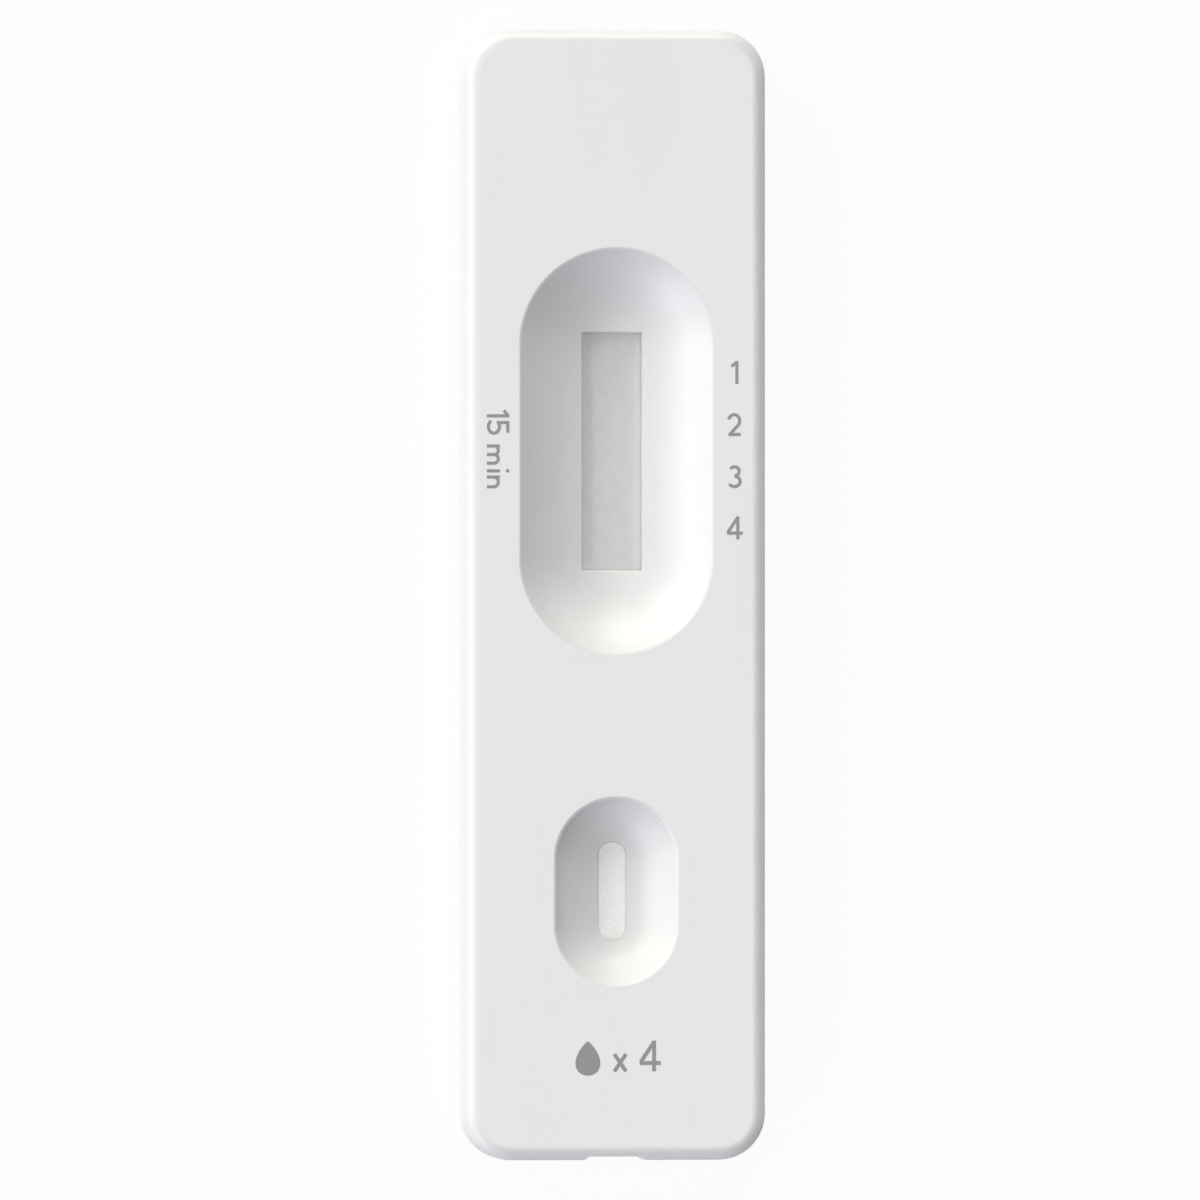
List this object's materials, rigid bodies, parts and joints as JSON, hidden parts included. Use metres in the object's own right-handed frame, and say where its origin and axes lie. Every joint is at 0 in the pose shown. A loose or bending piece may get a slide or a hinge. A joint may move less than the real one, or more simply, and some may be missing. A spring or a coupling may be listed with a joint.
{
  "type": "lateral flow cassette",
  "caption": "Slim white plastic housing with a dished result window and a small dished sample well, closed round a paper test strip.",
  "frame": {"origin": "centre of the underside", "axes": "+Z out of the printed face, +Y towards the result end, +X to the right across the width"},
  "size_m": [0.02, 0.075, 0.005],
  "materials": {
    "housing": "satin white polystyrene",
    "card": "smooth white card",
    "membrane": "fine matt nitrocellulose",
    "conjugate": "matt glass fibre, tinted",
    "sample_fibre": "fibrous, matt white",
    "absorbent": "thick blotting paper",
    "print": "thin matt grey ink"
  },
  "bodies": {
    "root": {"top_housing": "housing", "bottom_housing": "housing", "backing_card": "card", "membrane": "membrane", "conjugate_pad": "conjugate", "sample_pad": "sample_fibre", "absorbent_pad": "absorbent"}
  },
  "joints": []
}
